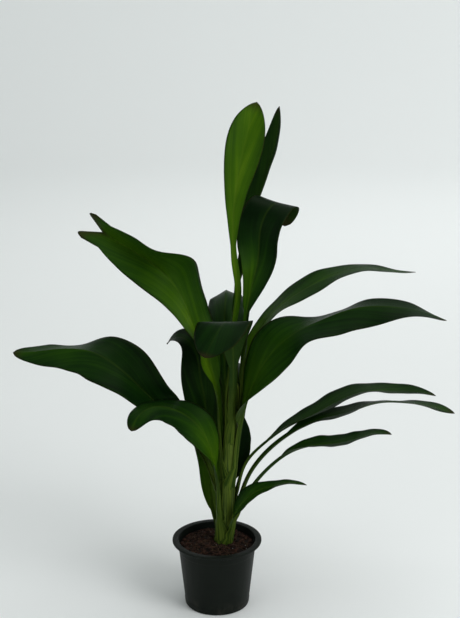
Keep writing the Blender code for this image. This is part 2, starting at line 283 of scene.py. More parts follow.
# %% Cut holes with a Boolean
def with_holes(shape, places, radius, low, high):
    """Cut round upright holes through a bmesh with a Boolean modifier that is made real at once."""
    drills = bmesh.new()
    for x, y in places:
        middle = Matrix.Translation((x, y, (low + high) / 2))
        bmesh.ops.create_cone(drills, cap_ends=True, segments=32, radius1=radius, radius2=radius,
                              depth=high - low, matrix=middle)
    solid, drill = bpy.data.meshes.new("solid"), bpy.data.meshes.new("drill")
    shape.to_mesh(solid)
    drills.to_mesh(drill)
    drills.free()
    body, tool = bpy.data.objects.new("solid", solid), bpy.data.objects.new("drill", drill)
    for made in (body, tool):
        bpy.context.scene.collection.objects.link(made)
    cut = body.modifiers.new("cut", "BOOLEAN")
    cut.operation = "DIFFERENCE"
    cut.solver = "EXACT"
    cut.object = tool
    shape.clear()
    shape.from_object(body, bpy.context.evaluated_depsgraph_get())
    for made, mesh in ((body, solid), (tool, drill)):
        bpy.data.objects.remove(made)
        bpy.data.meshes.remove(mesh)
    return shape


# %% Spin the pot and drill its floor
DRAIN_CIRCLE = 0.0440
DRAIN_RADIUS = 0.0045
DRAIN_HOLES = 8
DRAIN_TURN = 0.4
DRILL_REACH = 0.0040
POT_STEPS = 144
drain_angles = [2 * math.pi * (i + DRAIN_TURN) / DRAIN_HOLES for i in range(DRAIN_HOLES)]
drain_places = [(DRAIN_CIRCLE * math.cos(a), DRAIN_CIRCLE * math.sin(a)) for a in drain_angles]
pot_shape = with_holes(spun(pot_section(), POT_STEPS), drain_places, DRAIN_RADIUS,
                       -DRILL_REACH, POT_FLOOR + DRILL_REACH)
print("drain holes:", len(drain_places))

# %% [markdown]
# The plastic is recycled, so it isn't quite black: a dark grey with a breath of green, faint upright flow
# lines from the mould, and a little dry dust near the foot. The flow lines are noise stretched upwards by
# a Mapping node, so they need no unwrapping, and the dust is more noise that fades with height.


# %% Black nursery plastic
def nursery_plastic():
    """Dark grey-green plastic with upright flow lines and a dusty foot."""
    finish = Finish("nursery_plastic")
    place = finish.place()
    spread = finish.node("ShaderNodeMapping", inputs={"Vector": place, "Scale": (160.0, 160.0, 9.0)})
    flow = finish.grain(spread, 1.0, 3.0)
    cloud = finish.grain(place, 38.0, 4.0, 0.6)
    height = finish.node("ShaderNodeSeparateXYZ", inputs={0: place}, output=2)
    dust = (1 - finish.between(height, 0.0, 0.030)) * finish.between(cloud, 0.45, 0.75)
    plastic = finish.mix(cloud, (0.0030, 0.0050, 0.0034), (0.0062, 0.0090, 0.0062))
    colour = finish.mix(dust * 0.45, plastic, (0.075, 0.066, 0.055))
    finish.surface(Base_Color=colour, Roughness=0.40 + 0.16 * flow + 0.2 * dust, Specular_IOR_Level=0.10)
    finish.relief(flow * 0.7 + cloud * 0.3, 0.00025, 0.5)
    return finish


add_piece("nursery_pot", pot_shape, nursery_plastic(), "pot_plastic", "pot")

# %% [markdown]
# ## The potting mix
# The mix is bark chips and coir, dark red-brown when damp. Bump alone would leave its top flat against the
# rim, so the top of a spun solid is pushed about by noise, and some hundreds of small chips and fibres lie
# in it. Each chip has only a few faces, because there are so many of them.

# %% Top of the mix
SOIL_EDGE = 0.1120
SOIL_TOP = 0.1200
SOIL_GAP = 0.0003
SOIL_FOOT = POT_FLOOR + SOIL_GAP
SOIL_RINGS = 48
SOIL_STEPS = 128
SOIL_SEED = 11
LARGE_LUMPS = 0.0016
SMALL_LUMPS = 0.0008
rng = np.random.default_rng(SOIL_SEED)
soil_rim = pot_radius(SOIL_EDGE) - POT_WALL - SOIL_GAP


def soil_height(x, y):
    """Height of the mix: a low mound with lumps."""
    radius = min(1.0, math.hypot(x, y) / soil_rim)
    mound = SOIL_EDGE + (SOIL_TOP - SOIL_EDGE) * math.cos(math.pi / 2 * radius)
    lumps = noise.noise(Vector((x, y, 0.3)) * 95) * LARGE_LUMPS
    lumps += noise.noise(Vector((x, y, 0.7)) * 260) * SMALL_LUMPS
    return mound + lumps * (1 - radius ** 6)


soil_profile = [(soil_rim * i / SOIL_RINGS, SOIL_EDGE) for i in range(SOIL_RINGS + 1)]
soil_profile += [(pot_radius(SOIL_FOOT) - POT_WALL - SOIL_GAP, SOIL_FOOT), (0, SOIL_FOOT)]
soil_shape = spun(soil_profile, SOIL_STEPS)
for vertex in soil_shape.verts:
    if vertex.co.z > SOIL_EDGE - 1e-5:
        vertex.co.z = soil_height(vertex.co.x, vertex.co.y)
print("width of the mix in mm:", round(2000 * soil_rim, 1))


# %% Places on the mix, clear of the cane
CANE_FOOT_X = 0.012
CANE_FOOT_RADIUS = 0.0170
ANY_TURN = 6.3
TILT = 0.35


def scattered(count, clear_of_cane, clear_of_rim):
    """Random places on the mix, away from the cane and the pot's wall."""
    places = []
    while len(places) < count:
        x, y = rng.uniform(-soil_rim, soil_rim, 2)
        from_cane = math.hypot(x - CANE_FOOT_X, y) - CANE_FOOT_RADIUS
        if from_cane > clear_of_cane and math.hypot(x, y) < soil_rim - clear_of_rim:
            places.append((x, y))
    return places


def random_turn():
    """Any turn about Z, with a small random tilt."""
    turn = Matrix.Rotation(rng.uniform(0, ANY_TURN), 4, "Z")
    for axis in "XY":
        turn = turn @ Matrix.Rotation(rng.normal(0, TILT), 4, axis)
    return turn


# %% Bark chips and grit
CHIP_WIDTHS = (0.45, 0.9)
CHIP_HEIGHTS = (0.7, 1.3)
CHIP_ROUGHNESS = 0.09


def chips(count, smallest, largest, flatness):
    """Rough flat lumps, each an icosphere with its corners pushed about."""
    shape = bmesh.new()
    for x, y in scattered(count, 0.001, 0.0045):
        size = smallest + (largest - smallest) * rng.random() ** 2.2
        width, height = rng.uniform(*CHIP_WIDTHS), flatness * rng.uniform(*CHIP_HEIGHTS)
        stretch = Matrix.Diagonal((size, size * width, size * height, 1))
        rest = Matrix.Translation((x, y, soil_height(x, y) + size * flatness * 0.25))
        made = bmesh.ops.create_icosphere(shape, subdivisions=1, radius=0.5,
                                          matrix=rest @ random_turn() @ stretch)
        for vertex in made["verts"]:
            vertex.co += Vector(rng.normal(0, size * CHIP_ROUGHNESS, 3))
    return shape


# %% Coir fibres
FIBRE_LENGTHS = (0.008, 0.022)
FIBRE_THICKNESS = 0.00045
FIBRE_BEND = 55
FIBRE_LIFT = 0.0012


def fibres(count):
    """Coir fibres: thin bars, cut along their length and bent in an arc."""
    shape = bmesh.new()
    carrier = bpy.data.meshes.new("fibre")
    for x, y in scattered(count, 0.004, 0.012):
        length = rng.uniform(*FIBRE_LENGTHS)
        heading = rng.uniform(0, ANY_TURN)
        bend = rng.normal(0, FIBRE_BEND)
        bar = bmesh.new()
        stretch = Matrix.Diagonal((length, FIBRE_THICKNESS, FIBRE_THICKNESS, 1))
        bmesh.ops.create_cube(bar, size=1.0, matrix=stretch)
        long_edges = [e for e in bar.edges if abs(e.verts[0].co.x - e.verts[1].co.x) > length / 2]
        bmesh.ops.subdivide_edges(bar, edges=long_edges, cuts=6)
        for vertex in bar.verts:
            along = vertex.co.x
            side = vertex.co.y + bend * along * along
            px = x + along * math.cos(heading) - side * math.sin(heading)
            py = y + along * math.sin(heading) + side * math.cos(heading)
            lift = FIBRE_LIFT * (1 + math.cos(along / length * 3))
            vertex.co = (px, py, soil_height(px, py) + lift + vertex.co.z)
        bar.to_mesh(carrier)
        bar.free()
        shape.from_mesh(carrier)
    bpy.data.meshes.remove(carrier)
    return shape


# %% Scatter them over the mix
chip_shape = chips(720, 0.0028, 0.0105, 0.42)
fibre_shape = fibres(120)
grit_shape = chips(26, 0.0016, 0.0030, 0.8)
print("corners of chips, fibres and grit:", [len(s.verts) for s in (chip_shape, fibre_shape, grit_shape)])

# %% [markdown]
# Damp bark is dark brown with redder and paler bits, matt but for a faint sheen. One recipe serves the mix,
# the chips, the fibres and the grey-white perlite, because they differ only in their two colours and in the
# size of their patches.


# %% Damp bark, coir and perlite
def damp_bark(name, dark, light, size):
    """Two colours mixed in patches, with a fine grain."""
    finish = Finish(name)
    place = finish.place()
    patches = finish.grain(place, size, 3.0, 0.6)
    grit = finish.grain(place, size * 7, 4.0, 0.7)
    mixed = finish.between(patches * 0.65 + grit * 0.35, 0.36, 0.66)
    colour = finish.mix(mixed, dark, light)
    finish.surface(Base_Color=colour, Roughness=0.78 + 0.2 * grit, Specular_IOR_Level=0.15)
    finish.relief(grit, 0.0006, 0.8)
    return finish


damp_mix = damp_bark("damp_mix", (0.0030, 0.0018, 0.0012), (0.014, 0.0066, 0.0040), 140.0)
bark = damp_bark("bark", (0.0050, 0.0026, 0.0018), (0.046, 0.020, 0.012), 90.0)
coir = damp_bark("coir", (0.030, 0.016, 0.009), (0.100, 0.058, 0.032), 120.0)
perlite = damp_bark("perlite", (0.20, 0.19, 0.18), (0.42, 0.41, 0.39), 300.0)
add_piece("potting_mix", soil_shape, damp_mix, "soil_bark", "soil")
add_piece("bark_chips", chip_shape, bark, "soil_bark")
add_piece("coir_fibres", fibre_shape, coir, "soil_bark")
add_piece("perlite", grit_shape, perlite, "soil_bark")

# %% [markdown]
# ## The cane
# What looks like a stem is mostly leaf bases, each wrapped round the next. The core is a tapered column that
# leans a little, with shallow upright ribs. A curve with a bevel would taper but couldn't be ribbed, so a
# grid is rolled into a tube and one formula places its points. The sheath of every leaf is modelled with its
# leaf further on, and lies over this core.

# %% Sizes of the column, in metres
CANE_FOOT_Z = 0.070
CANE_TOP_X = 0.031
CANE_TOP_Z = 0.420
CANE_TOP_RADIUS = 0.0100


def cane_share(z):
    """0 up to the top of the soil, then rising to 1 at the top of the cane."""
    return np.maximum(0.0, (z - SOIL_TOP) / (CANE_TOP_Z - SOIL_TOP))


def cane_x(z):
    """Where the middle of the cane lies along X at a height."""
    return CANE_FOOT_X + (CANE_TOP_X - CANE_FOOT_X) * cane_share(z)


def cane_radius(z):
    """Radius of the cane at a height."""
    return CANE_FOOT_RADIUS + (CANE_TOP_RADIUS - CANE_FOOT_RADIUS) * cane_share(z)


# %% Roll a grid into the ribbed cane
def closed_tube(rows, sides, points):
    """A grid rolled into a tube. points has shape (rows + 1, sides, 3), and both ends are filled."""
    shape = bmesh.new()
    bmesh.ops.create_grid(shape, x_segments=rows, y_segments=sides, size=0.5)
    for vertex in shape.verts:
        row = round((vertex.co.x + 0.5) * rows)
        side = round((vertex.co.y + 0.5) * sides) % sides
        vertex.co = points[row, side]
    bmesh.ops.remove_doubles(shape, verts=shape.verts, dist=1e-7)
    bmesh.ops.holes_fill(shape, edges=[e for e in shape.edges if e.is_boundary], sides=0)
    bmesh.ops.recalc_face_normals(shape, faces=shape.faces)
    return shape


CANE_ROWS = 150
CANE_SIDES = 72
CANE_TOP_FLAT = 0.98
BROAD_RIBS = 0.018
FINE_RIBS = 0.010


def cane_surface():
    """Points of the ribbed column, rounded off at its top. The ribs stay inside the plain taper."""
    height = CANE_FOOT_Z + (CANE_TOP_Z - CANE_FOOT_Z) * np.linspace(0, 1, CANE_ROWS + 1)[:, None]
    turn = np.linspace(0, 2 * np.pi, CANE_SIDES, endpoint=False)[None, :]
    near_top = np.clip((height - CANE_TOP_Z + CANE_TOP_RADIUS) / CANE_TOP_RADIUS, 0, 1)
    ribs = 1 + BROAD_RIBS * np.sin(turn * 9 + height * 14) + FINE_RIBS * np.sin(turn * 23 - height * 31)
    ribs = ribs - BROAD_RIBS - FINE_RIBS
    reach = cane_radius(height) * np.sqrt(1 - CANE_TOP_FLAT * near_top ** 2) * ribs
    return np.stack([cane_x(height) + reach * np.cos(turn), reach * np.sin(turn), height + 0 * turn], -1)


cane_shape = closed_tube(CANE_ROWS, CANE_SIDES, cane_surface())
print("cane: height in mm", round(1000 * (CANE_TOP_Z - CANE_FOOT_Z)), "of which above the soil",
      round(1000 * (CANE_TOP_Z - SOIL_TOP)))

# %% [markdown]
# ## The leaves
# Every leaf follows one recipe. A midrib walks out from the cane, steered by a list of compass headings and
# a list of rises, in degrees. The blade rolls about it, its two halves fold up, and each half cups out to
# its edge. The lists below are the same ones that shaped the solids, so each leaf keeps its place and reach.
#
# base is the height where a leaf leaves the cane, stalk the share of its length before the blade widens,
# belly where along the blade it is widest, and fullness bends its outline from pointed (1) to blunt (0.4).
# Where a leaf has them, neck is half the width of its stalk, end half the width of its tip, and notch the
# depth of the cleft there.

# %% One entry for each leaf, from the lowest up
LEAVES = {
    # short leaf low on the right
    "leaf_01": dict(
        base=0.132, length=0.217, width=0.041, stalk=0.12, belly=0.32, fullness=0.66,
        heading=(-62, -43, -24, -10, -18), rise=(68, 74, 68, 56, 51, 37, 21, 20, 3, -9),
        roll=(0, -39, -43, -10, -11), left=(8, 13, 2, 4), right=(-6, 14, 15, 8), cup=5,
    ),
    # tall leaf behind the cane on the left, its tip curled out
    "leaf_02": dict(
        base=0.130, length=0.406, width=0.071, stalk=0.08, belly=0.60, fullness=0.38, neck=0.0080,
        heading=(125, 128, 153, 167, 166, 167, 176), rise=(72, 73, 88, 87, 81, 88, 78, 82, 41, -59),
        roll=(0, 27, 49, 66, 78, 52, -7), left=(10, 20, 10, 5), right=(10, 20, 10, 5), cup=5,
    ),
    # low leaf at the back
    "leaf_03": dict(
        base=0.145, length=0.42, width=0.064, stalk=0.25, belly=0.5, fullness=0.7,
        heading=(76, 92, 98), rise=(70, 59, 44, 5, -30),
        roll=0, left=(10, 30, 20, 10), right=(10, 30, 20, 10), cup=5,
    ),
    # lowest of three narrow-looking leaves on the right
    "leaf_04": dict(
        base=0.150, length=0.371, width=0.053, stalk=0.44, belly=0.51, fullness=0.56,
        heading=-15, rise=(73, 69, 59, 50, 41, 24, 10, 19, 24, -12),
        roll=(0, -2, -6, -10, -6), left=(8, 16, 5, -4), right=(8, 33, 18, 11), cup=5,
    ),
    # leaf low on the left that droops towards the front
    "leaf_05": dict(
        base=0.165, length=0.344, width=0.071, stalk=0.30, belly=0.52, fullness=0.52, neck=0.0068,
        heading=(228, 208, 194, 195, 238), rise=(84, 90, 83, 79, 69, 53, 33, 11, -26, -60),
        roll=(0, 31, 65, 35, 29), left=(6, 18, 3, -4, 6), right=(-2, 7, -3, -35, -27), cup=5,
    ),
    # middle one of the three, seen edge-on
    "leaf_06": dict(
        base=0.165, length=0.489, width=0.066, stalk=0.35, belly=0.57, fullness=0.68,
        heading=(10, 3, -3, -6, -10), rise=(73, 72, 54, 40, 30, 14, 23, 1, -6, -20),
        roll=(0, -2, -9, 5, 21, -14), left=(11, 24, 7, 2), right=(5, 12, 3, 1), cup=5,
    ),
    # second leaf at the back
    "leaf_07": dict(
        base=0.172, length=0.40, width=0.064, stalk=0.25, belly=0.5, fullness=0.7,
        heading=(86, 100, 108), rise=(68, 63, 45, 5, -30),
        roll=0, left=(10, 30, 20, 10), right=(10, 30, 20, 10), cup=5,
    ),
    # top one of the three
    "leaf_08": dict(
        base=0.190, length=0.457, width=0.066, stalk=0.28, belly=0.50, fullness=0.68,
        heading=(22, -1, 8, 8, -8), rise=(77, 76, 48, 38, 24, 28, 18, -3, -1, -16),
        roll=(0, 10, -5, 4, 0), left=(7, 8, 9, 20), right=(1, 23, 12, -3), cup=5,
    ),
    # long leaf straight out to the left
    "leaf_09": dict(
        base=0.200, length=0.499, width=0.101, stalk=0.30, belly=0.44, fullness=0.57, neck=0.0070,
        heading=175, rise=(79, 72, 52, 48, 45, 44, 31, 2, -9, -1),
        roll=(0, 54, 36, 29, 60, 49, 40, 22, 12, 22),
        left=(7, 27, 12, 16, 42, 21, -12, -35, -32, -17),
        right=(1, 8, 4, 28, 40, 26, -5, -33, -14, -2), cup=5,
    ),
    # young leaf pressed to the cane on the right
    "leaf_10": dict(
        base=0.210, length=0.150, width=0.058, stalk=0.10, belly=0.5, fullness=0.6,
        heading=(72, 56, 50), rise=(70, 73, 81, 88, 95),
        roll=(0, -49, -73), left=(10, 20, 10), right=(10, 20, 10), cup=5,
    ),
    # broad long leaf on the right
    "leaf_11": dict(
        base=0.265, length=0.557, width=0.094, stalk=0.15, belly=0.41, fullness=0.59, neck=0.0066,
        heading=(-34, -23, -1, 3), rise=(84, 81, 74, 64, 49, 29, 21, 0, -12, -24),
        roll=(0, -10, -32, -42, -53, -39, -32, -48, -21, -9),
        left=(-4, 17, 15, 13, 10, -36, -45, -46, -11, -22),
        right=(4, 32, 28, -3, 2, 16, -11, -3, 4, -6), cup=5,
    ),
    # broad leaf up to the left with its face turned to the front
    "leaf_12": dict(
        base=0.280, length=0.482, width=0.107, stalk=0.26, belly=0.61, fullness=0.58,
        neck=0.0085, notch=0.0362, end=0.0294,
        heading=(178, 180, 180, 177, 185, 190, 183, 167, 180, 179),
        rise=(86, 88, 85, 74, 67, 71, 58, 37, 32, 33),
        roll=(0, 26, 41, 75, 75, 76, 81, 74, 87, 80),
        left=(9, 24, 22, 29, 62, 49, 46, 35, 32, 25),
        right=(7, 14, 0, -3, -6, -27, -25, 54, 47, 42), cup=5,
    ),
    # slender leaf up to the right
    "leaf_13": dict(
        base=0.310, length=0.515, width=0.067, stalk=0.28, belly=0.47, fullness=0.73, neck=0.0058,
        heading=(38, 36, 12, 7, 3), rise=(86, 85, 81, 61, 48, 33, 25, 10, -11, 2),
        roll=(0, -5, -7, -30, -9, 2), left=(0, 11, -16, -10, 3), right=(4, 9, 21, 11, -3), cup=5,
    ),
    # leaf that arches over at the back
    "leaf_14": dict(
        base=0.330, length=0.351, width=0.080, stalk=0.2, belly=0.58, fullness=0.85, neck=0.0080,
        heading=(114, 89, 91), rise=(80, 78, 79, 45, -11, -59),
        roll=0, left=(0, -9, -40, -22), right=(4, -3, -33, -10), cup=5,
    ),
    # leaf that arches over towards the front
    "leaf_15": dict(
        base=0.350, length=0.308, width=0.091, stalk=0.25, belly=0.70, fullness=0.61, neck=0.0080,
        heading=(275, 277, 252, 234), rise=(86, 80, 98, 50, -22, -47),
        roll=4, left=(12, 20, -13), right=(-17, -15, -6), cup=5,
    ),
    # leaf beside the top one, its end folded over
    "leaf_16": dict(
        base=0.370, length=0.447, width=0.080, stalk=0.38, belly=0.60, fullness=0.51, neck=0.0065,
        heading=(0, 34, 49, 47, 12, 50, 76), rise=(85, 87, 80, 90, 72, 73, 88, 55, -29, -102),
        roll=(0, 23, -19, -54, -56, -20, -4), left=(9, 31, 18, -21), right=(-3, 29, 13, 7), cup=2,
    ),
    # upright top leaf
    "leaf_17": dict(
        base=0.380, length=0.532, width=0.065, stalk=0.32, belly=0.80, fullness=0.73, neck=0.0085,
        heading=(165, 102, 29, 28, 21, 38, 55), rise=(88, 103, 79, 79, 98, 91, 85, 77, 70, 57),
        roll=(0, -64, -98, -80, -80, -52, -21), left=(10, 20, 10, 5), right=(10, 20, 10, 5), cup=15,
    ),
    # narrow upright leaf behind the top one
    "leaf_18": dict(
        base=0.395, length=0.512, width=0.058, stalk=0.28, belly=0.63, fullness=0.64, neck=0.0068,
        heading=(83, 94, 52, 33, 20, 15), rise=(78, 73, 73, 66, 61, 83, 71, 73, 78, 90),
        roll=(0, -12, -9, -10, -18), left=(5, 34, 35, 26, 11), right=(10, 48, 53, 24, 9), cup=15,
    ),
}
print("leaves:", len(LEAVES))


# %% A smooth curve through a list
def smooth(values, t):
    """Smooth curve through evenly spaced values, read at every t from 0 to 1."""
    t = np.asarray(t, float)
    if not isinstance(values, tuple):
        return np.full(t.shape, float(values))
    v = np.array([values[0], *values, values[-1]], float)
    x = t * (len(values) - 1)
    i = np.minimum(x.astype(int), len(values) - 2)
    f = x - i
    before, start, end, after = v[i], v[i + 1], v[i + 2], v[i + 3]
    return 0.5 * (2 * start + (end - before) * f + (2 * before - 5 * start + 4 * end - after) * f * f
                  + (3 * start - before - 3 * end + after) * f ** 3)


rises = smooth(LEAVES["leaf_09"]["rise"], np.linspace(0, 1, 5))
print("rise of leaf_09 from foot to tip:", [round(float(rise)) for rise in rises])

# %% The width of a leaf
SHEATH_HALF_WIDTH = 0.0085
STALK_HALF_WIDTH = 0.0058
TIP_HALF_WIDTH = 0.0003


def blade_share(leaf, t):
    """0 at the end of the stalk to 1 at the tip."""
    return np.clip((t - leaf["stalk"]) / (1 - leaf["stalk"]), 0, 1)


def half_width(leaf, t):
    """Half the width of the leaf round its section."""
    neck = leaf.get("neck", STALK_HALF_WIDTH)
    sheath = max(neck, SHEATH_HALF_WIDTH)
    stalk = sheath + (neck - sheath) * np.minimum(1.0, 2 * t / leaf["stalk"]) ** 0.7
    b = blade_share(leaf, t)
    skew = math.log(0.5) / math.log(leaf["belly"])
    outline = np.maximum(np.sin(np.pi * b ** skew), 0.0) ** leaf["fullness"]
    blade = np.maximum(leaf["width"] / 2 * outline, stalk * (1 - b))
    return np.maximum(blade, leaf.get("end", TIP_HALF_WIDTH) * b)


broadest = max(LEAVES, key=lambda name: LEAVES[name]["width"])
print("broadest blade:", broadest, "with", round(1000 * LEAVES[broadest]["width"]), "mm")


# %% The midrib
LEAF_STAND_OFF = 0.0012
WALK = 4


def directions(leaf, t):
    """Unit vectors along the midrib, to the right of the blade and out of its face."""
    heading, rise, roll = (np.radians(smooth(leaf[key], t)) for key in ("heading", "rise", "roll"))
    forward = np.stack([np.cos(rise) * np.cos(heading), np.cos(rise) * np.sin(heading), np.sin(rise)], -1)
    level = np.stack([np.sin(heading), -np.cos(heading), 0 * heading], -1)
    upright = np.cross(level, forward)
    right = np.cos(roll)[:, None] * level + np.sin(roll)[:, None] * upright
    face = np.cos(roll)[:, None] * upright - np.sin(roll)[:, None] * level
    return forward, right, face


def midrib(leaf, rows):
    """Points along the midrib, walked out from the surface of the cane."""
    steps = rows * WALK
    forward = directions(leaf, (np.arange(steps) + 0.5) / steps)[0]
    heading = math.radians(float(smooth(leaf["heading"], 0.0)))
    reach = float(cane_radius(leaf["base"])) + LEAF_STAND_OFF
    x = float(cane_x(leaf["base"]))
    start = np.array([x + reach * math.cos(heading), reach * math.sin(heading), leaf["base"]])
    path = start + np.cumsum(forward, axis=0) * leaf["length"] / steps
    return np.vstack([start, path[WALK - 1::WALK]])


for name in ("leaf_09", "leaf_11"):
    tip = midrib(LEAVES[name], 100)[-1].tolist()
    print("tip of", name, "in mm:", [round(1000 * value) for value in tip])


# %% [markdown]
# The blade isn't flat at its edges: they ripple a little, and differently on the two sides. A leaf also has
# a body. It is thickest along the midrib, which stands out underneath and lies in a groove on top, and it
# thins towards the edge. The stalk is a gutter with thick walls, and below it the sheath wraps the cane and
# dies away into it. A Solidify modifier gives one thickness everywhere, so here a middle sheet comes first,
# and each skin then lies its own distance from it.

# %% The sheath round the cane
SHEATH_LENGTH = 0.042
SHEATH_WRAP = 1.5
SHEATH_SINK = 1.6
SHEATH_EDGE_SINK = 0.0004
HALF_COLUMNS = 15
columns = np.linspace(-1, 1, 2 * HALF_COLUMNS + 1)
ACROSS = columns * (0.35 + 0.65 * np.abs(columns))
print("columns across a leaf:", len(ACROSS))


def sheath_sheet(leaf, rise):
    """Points wrapped round the cane at the heights base + rise, one row for each."""
    heading = math.radians(float(smooth(leaf["heading"], 0.0)))
    height = leaf["base"] + rise[:, None]
    depth = np.clip(-rise / SHEATH_LENGTH, 0, 1)[:, None]
    foot = max(leaf.get("neck", 0.0), SHEATH_HALF_WIDTH)
    wrap = foot / (cane_radius(height) + LEAF_STAND_OFF) + SHEATH_WRAP * depth ** 0.8
    turn = heading - ACROSS[None, :] * wrap
    reach = cane_radius(height) + LEAF_STAND_OFF * (1 - SHEATH_SINK * depth)
    reach = reach - SHEATH_EDGE_SINK * depth * np.abs(ACROSS)
    return np.stack([cane_x(height) + reach * np.cos(turn), reach * np.sin(turn), height + 0 * turn], -1)


# %% Rippled edges
RIPPLE = 0.016


def ripple(leaf, t, number):
    """How far the edges of a leaf lie above or below the plain form, for every row and column."""
    b = blade_share(leaf, t)[:, None]
    sides = np.where(ACROSS > 0, 1.0, -1.0)[None, :]
    own = number * 2.4
    long_waves = np.sin(2 * np.pi * (3.1 * b + 0.37 * sides) + own)
    waves = long_waves + 0.6 * np.sin(2 * np.pi * (6.7 * b - 0.21 * sides) + own * 1.7)
    return RIPPLE * leaf["width"] * waves * np.abs(ACROSS[None, :]) ** 3 * np.sin(np.pi * b) ** 0.6


# %% The middle sheet of a leaf
SHEATH_ROWS = 12
BLADE_ROWS = 116
CLINGING_LENGTH = 0.024
STALK_CUP = 28
NOTCH_START = 0.6
EAR_REACH = 1.35
EAR_START = 0.6


def leaf_sheet(leaf, number):
    """Middle sheet of a leaf from the foot of its sheath to its tip, with the measures its finish needs."""
    t = np.linspace(0, 1, BLADE_ROWS + 1)
    forward, right, face = directions(leaf, t)
    width = half_width(leaf, t)[:, None]
    on_right = ACROSS[None, :] > 0
    fold = np.where(on_right, smooth(leaf["right"], t)[:, None], smooth(leaf["left"], t)[:, None])
    fold = np.radians(fold)
    gutter = (1 - np.clip(t / leaf["stalk"] - 0.55, 0, 1)) * np.clip(t / 0.05, 0, 1)
    cup = np.radians(leaf["cup"]) + np.radians(STALK_CUP) * gutter[:, None]
    far = np.abs(ACROSS)[None, :]
    out = width * (np.sin(fold + cup * far) - np.sin(fold)) / cup * np.sign(ACROSS)[None, :]
    lift = width * (np.cos(fold) - np.cos(fold + cup * far)) / cup + ripple(leaf, t, number)
    ear = EAR_REACH * (far - 0.5 * np.clip((far - EAR_START) / (1 - EAR_START), 0, 1) ** 2.5)
    past_notch = np.maximum(0.0, (t[:, None] - NOTCH_START) / (1 - NOTCH_START))
    ahead = leaf.get("notch", 0.0) * ear * past_notch ** 2
    sheet = midrib(leaf, BLADE_ROWS)[:, None, :] + right[:, None, :] * out[..., None]
    sheet += face[:, None, :] * lift[..., None] + forward[:, None, :] * ahead[..., None]
    rise = t * leaf["length"]
    hugging = sheath_sheet(leaf, rise)
    free = np.clip(rise / CLINGING_LENGTH, 0, 1)
    free = (free * free * (3 - 2 * free))[:, None, None]
    sheet = hugging * (1 - free) + sheet * free
    below = np.linspace(-SHEATH_LENGTH, 0, SHEATH_ROWS, endpoint=False)
    sheet = np.concatenate([sheath_sheet(leaf, below), sheet])
    along = np.concatenate([below, rise])
    share = np.concatenate([0 * below, t])
    across = np.concatenate([np.full((SHEATH_ROWS, 1), width[0, 0]), width]) * ACROSS[None, :]
    return sheet, along, share, across


print("rows along a leaf:", SHEATH_ROWS + BLADE_ROWS + 1)


# %% Thickness of a leaf
SKIN = 0.00024
KEEL = 0.0013
KEEL_AT_TIP = 0.0004
GUTTER_WALL = 0.0016
GROOVE = 0.00028
GROOVE_WIDTH = 0.0011


def leaf_body(leaf, share, across, along):
    """How far the upper and the lower skin lie from the middle sheet."""
    stalk = 1 - np.clip((share - leaf["stalk"] * 0.7) / (leaf["stalk"] * 0.8), 0, 1)[:, None]
    sheath = np.clip(-along / SHEATH_LENGTH, 0, 1)[:, None]
    edge = 1 - 0.55 * np.abs(ACROSS)[None, :] ** 4
    skin = SKIN * edge * (1 - 0.5 * sheath)
    fading = (1 - share[:, None]) ** 0.7
    spine = np.exp(-(across / (0.0012 + 0.0016 * fading)) ** 2)
    keel = (KEEL_AT_TIP + KEEL * fading) * spine
    gutter = GUTTER_WALL * stalk * (1 - np.abs(ACROSS)[None, :] ** 2) * (1 - sheath)
    groove = GROOVE * fading * np.exp(-(across / GROOVE_WIDTH) ** 2) * (1 - stalk)
    rooted = 1 - 0.8 * sheath
    upper = skin - groove
    lower = skin + (keel * (1 - 0.4 * stalk) + gutter) * rooted
    return upper, lower


# %% [markdown]
# Young leaves are a fresh yellow-green and old ones a deep green. A tone for each leaf steers one shared
# finish: 0 is the deepest and 1 the freshest, and the deepest tone, that of leaf_10, is painted shade. On
# some leaves the left half is lighter than the right, which is painted light. A fresher foot is partly the
# leaf's own colour and partly painted light; a darker tip is painted shade, and the tip of leaf_09 is
# fresher. Three more lists hold those differences. They could be separate materials, but then every vein
# would have to be written many times.

# %% Tones of the leaves 01 to 18, with their painted light and shade
# The deepest tone, 0.04 for leaf_10, is painted shade.
LEAF_TONES_AND_SHADE = (0.34, 0.30, 0.20, 0.26, 0.30, 0.26, 0.15, 0.22, 0.14,
              0.04, 0.18, 0.50, 0.30, 0.20, 0.10, 0.28, 0.70, 0.26)
# Painted light: the left half of these leaves is lighter, on leaf_12 and leaf_16 most of all.
LEFT_PAINTED_LIGHT = (0, 0.06, 0, 0, 0, 0, 0, 0, 0.04, 0, 0, 0.24, 0, 0, 0, 0.30, 0.06, 0)
# A fresher foot: partly the leaf's own colour and partly painted light.
FOOT_TONE_AND_LIGHT = (0, 0.30, 0, 0, 0.42, 0, 0, 0, 0, 0, 0.30, 0.10, 0.40, 0, 0, 0, 0, 0.10)
# A darker tip is painted shade, on leaf_02 and leaf_16 most of all; leaf_09 has a fresher tip.
TIP_TONE_AND_SHADE = (0, -0.25, 0, 0, -0.05, 0, 0, 0, 0.16, 0, -0.06, 0, 0, 0, 0, -0.34, 0, 0)
FOOT_SHARE = 0.36
TIP_SHARE = 0.55
FADE_SHARE = 0.25
print("tones run from", min(LEAF_TONES_AND_SHADE), "to", max(LEAF_TONES_AND_SHADE))


def tone_and_light_shift(number, share, across):
    """How far each point moves from its leaf's tone: painted light on the left half, fresher colour
    with painted light at the foot, and painted shade on a darker tip.
    """
    i = number - 1
    left = np.clip((0.002 - across) / 0.008, 0, 1)
    foot = 1 - np.clip((share[:, None] - FOOT_SHARE) / FADE_SHARE, 0, 1)
    tip = np.clip((share[:, None] - TIP_SHARE) / FADE_SHARE, 0, 1)
    return LEFT_PAINTED_LIGHT[i] * left * (1 - tip) + FOOT_TONE_AND_LIGHT[i] * foot + TIP_TONE_AND_SHADE[i] * tip


# %% The closed mesh of a leaf
LEAF_MEASURES = ("across", "along", "share", "edge", "under", "tone", "shift")


